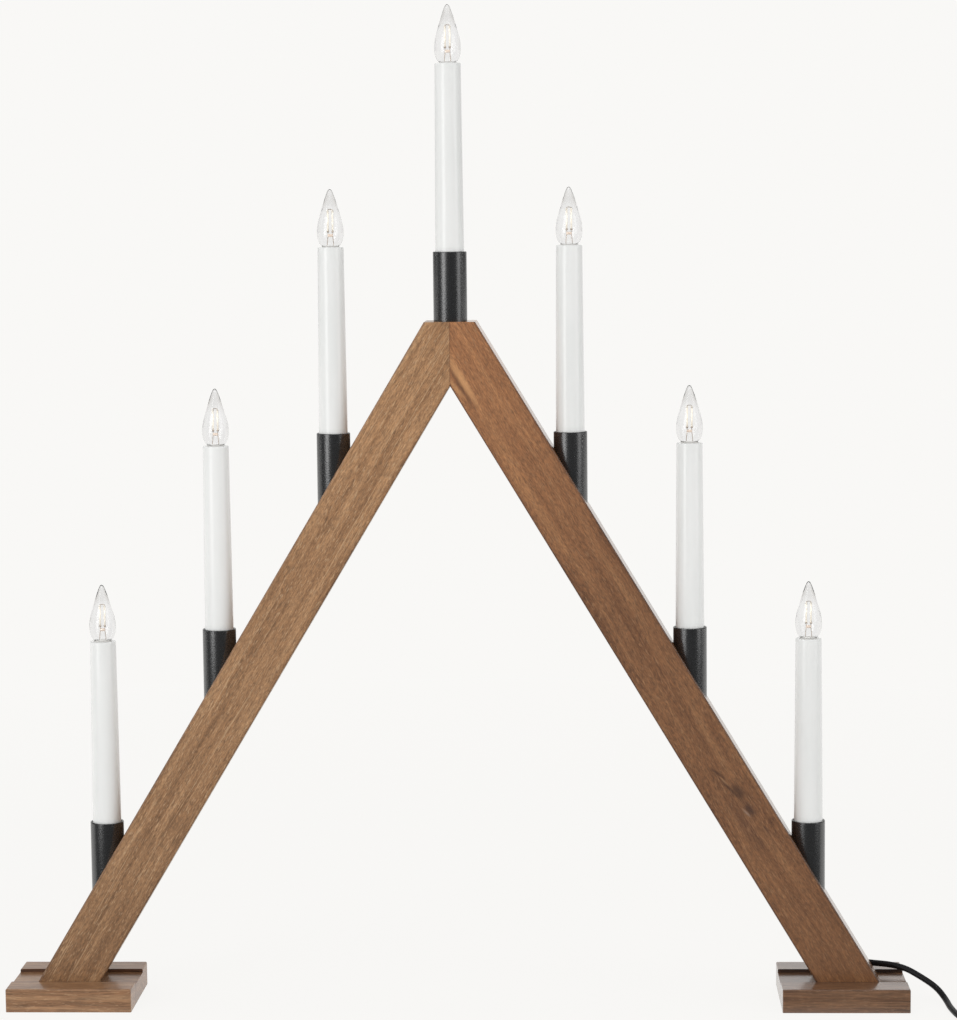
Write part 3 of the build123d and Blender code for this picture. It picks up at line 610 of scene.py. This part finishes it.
# the wall's outline turned round the candle's axis
def makeCup(number, s):
    x, rim = candlePlace(number)[:2]
    under = -s["floor"] - s["floorThick"]
    corners = [(s["radius"], -s["length"], s["footRound"]), (s["radius"], 0, s["rim"]), (s["bore"], 0, s["rim"]),
               (s["bore"], -s["floor"], s["floorRound"]), (s["hole"], -s["floor"], s["floorRound"]),
               (s["hole"], under, s["floorRound"]), (s["bore"], under, s["floorRound"]),
               (s["bore"], -s["length"], s["footRound"])]
    grid = turnedGrid(roundedOutline(corners), x, rim, s["segments"])
    cup = meshPiece("cup_%d" % number, [(grid, True, 0)], [cupBlack])
    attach(cup, "frame")
    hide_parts("holder_cup_%d" % number)


# Sleeves: tapered tubes with a rounded top lip and a shelf for the socket
sleeveSettings = dict(base=7.95, top=7.2, rise=102.0, depth=114.0, bore=6.0, seat=5.45, shelf=4.3, shellEnd=9.5,
                      shelfEnd=11.0, lip=0.6, collar=4.85, collarEnd=1.3, footRound=0.2, innerRound=0.1, segments=96)


# the wall's outline turned round the candle's axis, with a collar under the lip
def makeSleeve(number, s):
    x, top = candlePlace(number)[::2]
    small = s["innerRound"]
    corners = [(s["base"], -s["depth"], s["footRound"]), (s["base"], -s["rise"], 0), (s["top"], 0, s["lip"]),
               (s["collar"], 0, s["lip"]), (s["collar"], -s["collarEnd"], small), (s["seat"], -s["collarEnd"], small),
               (s["seat"], -s["shellEnd"], small), (s["shelf"], -s["shellEnd"], small),
               (s["shelf"], -s["shelfEnd"], small), (s["bore"], -s["shelfEnd"], small),
               (s["bore"], -s["depth"], s["footRound"])]
    grid = turnedGrid(roundedOutline(corners), x, top, s["segments"])
    sleeve = meshPiece("sleeve_%d" % number, [(grid, True, 0)], [smooth["sleeveWhite"]])
    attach(sleeve, "frame")
    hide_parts("candle_sleeve_%d" % number)


# Bulbs: heights above the sleeve's top
bulbSettings = dict(
    neck=(5.0, 0.8), belly=(7.3, 8.4), shoulder=(4.75, 20.2), nose=(1.5, 29.9), height=31.6, wall=0.8,
    root=3.7, rootBottom=-4.0, ring=[(4.7, -0.9), (4.75, -0.8), (4.75, 0.38), (4.75, 0.45)], floor=(4.1, 0.5),
    stem=2.4, stemTop=1.0, rings=72, segments=72)


# smooth outline from the neck, which leaves at 45 degrees, to the level tip, drawn in by a wall
def bulbOutline(s, wall):
    points = [(s["neck"][0] - wall, s["neck"][1]), (s["belly"][0] - wall, s["belly"][1]),
              (s["shoulder"][0] - wall, s["shoulder"][1]), (s["nose"][0] - wall, s["nose"][1] - wall),
              (0, s["height"] - wall)]
    half = math.sqrt(0.5)
    return smoothCurve(points, (half, half), (-1, 0), s["rings"])


# outer and inner glass, the pale foot below the neck and the floor with its stem
def makeGlass(number, s):
    x, top = candlePlace(number)[::2]
    outer = np.concatenate([s["ring"][-1:], bulbOutline(s, 0)])
    inner = np.concatenate([bulbOutline(s, s["wall"])[::-1], [s["floor"]]])
    foot = [(0, s["rootBottom"]), (s["root"], s["rootBottom"]), (s["root"], s["ring"][0][1])] + s["ring"]
    stem = [s["floor"], (s["stem"], s["floor"][1]), (s["stem"], s["stemTop"]), (0, s["stemTop"])]
    grids = [(turnedGrid(outline, x, top, s["segments"]), False, slot)
             for outline, slot in ((outer, 0), (inner, 0), (foot, 1), (stem, 1))]
    glass = meshPiece("glass_%d" % number, grids, [clearGlass, smooth["pressedFoot"]])
    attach(glass, "bulb_%d" % number)
    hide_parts("bulb_glass_%d" % number)


# Filament: two glowing strands with metal ends, a bridge at the top, two wires and a bead
filamentSettings = dict(
    strand=0.5, offset=1.3, low=8.8, high=19.4, cap=0.65, capLength=0.8, bridge=0.6, wire=0.2, foot=1.7, rise=1.2,
    stemTop=1.0, beadHeight=6.4, bead=0.75, beadLength=3.2, wireSteps=40, bridgeSteps=32, beadSteps=24,
    segments=16)


# turned strands and caps, tubes for wires and bridge, and a bead that swells by the fourth power
def makeFilament(number, s):
    x, top = candlePlace(number)[::2]
    grids = []
    low = s["low"] - s["capLength"]
    high = s["high"] + s["capLength"]
    for side in (-1, 1):
        place = x + side * s["offset"]
        strand = [(0, s["low"]), (s["strand"], s["low"]), (s["strand"], s["high"]), (0, s["high"])]
        grids.append((turnedGrid(strand, place, top, s["segments"]), False, 0))
        for bottom, end, slot in ((low, s["low"], 2), (s["high"], high, 1)):
            cap = [(0, bottom), (s["cap"], bottom), (s["cap"], end), (0, end)]
            grids.append((turnedGrid(cap, place, top, s["segments"]), False, slot))
        foot = side * s["foot"]
        inward = side * s["offset"]
        way = [(foot, s["stemTop"]), (foot, s["stemTop"] + s["rise"]), (inward, s["beadHeight"]), (inward, low)]
        wire = smoothCurve(way, (0, 1), (0, 1), s["wireSteps"])
        grids.append((tubeGrid(wire, s["wire"], x, top, s["segments"]), False, 2))
    way = [(-s["offset"], high), (0, high + s["bridge"]), (s["offset"], high)]
    over = smoothCurve(way, (0, 1), (0, -1), s["bridgeSteps"])
    grids.append((tubeGrid(over, s["wire"], x, top, s["segments"]), False, 2))
    half = s["beadLength"] / 2
    t = np.linspace(-1, 1, s["beadSteps"])
    bead = tubeGrid(np.stack([t * half, 0 * t + s["beadHeight"]], 1), 1.0, x, top, s["segments"])
    center = np.array([0, 0, top + s["beadHeight"]])
    swell = (s["bead"] * np.sqrt(1 - t ** 4))[:, None, None]
    bead[..., 1:] = (bead[..., 1:] - center[1:]) * swell + center[1:]
    grids.append((bead, False, 3))
    materials = [filamentGlow, smooth["strandEnd"], smooth["supportWire"], smooth["beadGlass"]]
    filament = meshPiece("filament_%d" % number, grids, materials)
    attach(filament, "bulb_%d" % number)
    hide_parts("bulb_filament_%d" % number)


for number in candleNumbers:
    makeCup(number, cupSettings)
    makeSleeve(number, sleeveSettings)
    makeGlass(number, bulbSettings)
    makeFilament(number, filamentSettings)
print("candles made")


# Floor, world and lamps
stageSettings = dict(size=30.0, color=solidColor(0.947, 0.939, 0.922), plain=0.94, near=0.5, far=1.1,
                     worldStrength=0.64, frontLevel=0.15, frontEdge=(-0.031, -0.045), backdrop=(0.7, 0.93),
                     speck=400, lift=1.02, roughness=0.9, gloss=0.1)


# paper that the camera sees nearly plain, more so far off; mirrored rays see its front part darker
def makeFloor(s):
    half = s["size"] / 2
    mesh = bpy.data.meshes.new("floor")
    mesh.from_pydata([(-half, -half, 0), (half, -half, 0), (half, half, 0), (-half, half, 0)], [], [(0, 1, 2, 3)])
    floor = bpy.data.objects.new("floor", mesh)
    bpy.context.scene.collection.objects.link(floor)
    material, tree, shader = startFinish("floorPaper")
    speck = cloud(tree, objectPlace(tree), (s["speck"],) * 3, 2.0).outputs[0]
    paler = tuple(min(1.0, value * s["lift"]) for value in s["color"])
    tree.links.new(tint(tree, speck, s["color"], paler), shader.inputs["Base Color"])
    shader.inputs["Roughness"].default_value = s["roughness"]
    shader.inputs["Specular IOR Level"].default_value = s["gloss"]
    path = put(tree, "ShaderNodeLightPath")
    seen = blendNumber(tree, "MAXIMUM", path.outputs["Is Camera Ray"], path.outputs["Is Glossy Ray"])
    seen = blendNumber(tree, "MAXIMUM", seen, path.outputs["Is Transmission Ray"])
    plain = put(tree, "ShaderNodeEmission", {"Color": s["color"], "Strength": 1.0}).outputs[0]
    away = put(tree, "ShaderNodeVectorMath", {0: objectPlace(tree)}, operation="LENGTH").outputs["Value"]
    amount = blendNumber(tree, "MULTIPLY", seen, between(tree, away, s["near"], s["far"], s["plain"], 1.0))
    mixed = put(tree, "ShaderNodeMixShader", {0: amount, 1: shader.outputs[0], 2: plain}).outputs[0]
    ahead = put(tree, "ShaderNodeSeparateXYZ", {0: objectPlace(tree)}).outputs["Y"]
    front = between(tree, ahead, *s["frontEdge"], 0.0, 1.0 - s["frontLevel"])
    unlit = put(tree, "ShaderNodeEmission", {"Strength": 0.0}).outputs[0]
    mirrored = blendNumber(tree, "SUBTRACT", path.outputs["Is Glossy Ray"], path.outputs["Is Transmission Ray"])
    dim = blendNumber(tree, "MULTIPLY", between(tree, mirrored, 0.0, 1.0), front)
    mixed = put(tree, "ShaderNodeMixShader", {0: dim, 1: mixed, 2: unlit}).outputs[0]
    tree.links.new(mixed, tree.nodes["Material Output"].inputs["Surface"])
    mesh.materials.append(material)


# plain level for lighting, 1 for the camera and through glass,
# and for mirrored rays 1 behind the arch and less in front
def makeWorld(s):
    world = bpy.data.worlds.new("studio")
    bpy.context.scene.world = world
    world.use_nodes = True
    tree = world.node_tree
    path = put(tree, "ShaderNodeLightPath").outputs
    direction = put(tree, "ShaderNodeTexCoord").outputs["Generated"]
    ahead = put(tree, "ShaderNodeSeparateXYZ", {0: direction}).outputs["Y"]
    mirrored = between(tree, ahead, *s["backdrop"], s["frontLevel"], 1.0)
    direct = blendNumber(tree, "MAXIMUM", path["Is Camera Ray"], path["Is Transmission Ray"])
    level = put(tree, "ShaderNodeMix", {0: path["Is Glossy Ray"], 2: s["worldStrength"], 3: mirrored}).outputs[0]
    level = put(tree, "ShaderNodeMix", {0: direct, 2: level, 3: 1.0}).outputs[0]
    seen = blendNumber(tree, "MAXIMUM", direct, path["Is Glossy Ray"])
    color = tint(tree, seen, solidColor(1, 1, 1), s["color"])
    sky = put(tree, "ShaderNodeBackground", {"Color": color, "Strength": level}).outputs[0]
    tree.links.new(sky, tree.nodes["World Output"].inputs["Surface"])


lampSettings = [
    dict(name="keyLeft", at=(-1.5, -1.7, 0.8), aim=(0, 0, 0.3), size=(0.95, 1.7), power=16.6),
    dict(name="fillRight", at=(2.0, -0.9, 0.75), aim=(0, 0, 0.3), size=(0.95, 1.5), power=7.6),
    dict(name="topSoft", at=(0, -0.2, 2.3), aim=(0, 0, 0.2), size=(1.6, 1.2), power=9.0)]


# an area lamp at a place, turned to its aim
def makeLamp(s):
    data = bpy.data.lights.new(s["name"], "AREA")
    data.shape = "RECTANGLE"
    data.size, data.size_y = s["size"]
    data.energy = s["power"]
    lamp = bpy.data.objects.new(s["name"], data)
    lamp.location = s["at"]
    lamp.rotation_euler = (Vector(s["aim"]) - Vector(s["at"])).to_track_quat("-Z", "Y").to_euler()
    bpy.context.scene.collection.objects.link(lamp)


makeFloor(stageSettings)
makeWorld(stageSettings)
for lamp in lampSettings:
    makeLamp(lamp)
bpy.context.scene.view_settings.view_transform = "Standard"
print("stage lit")
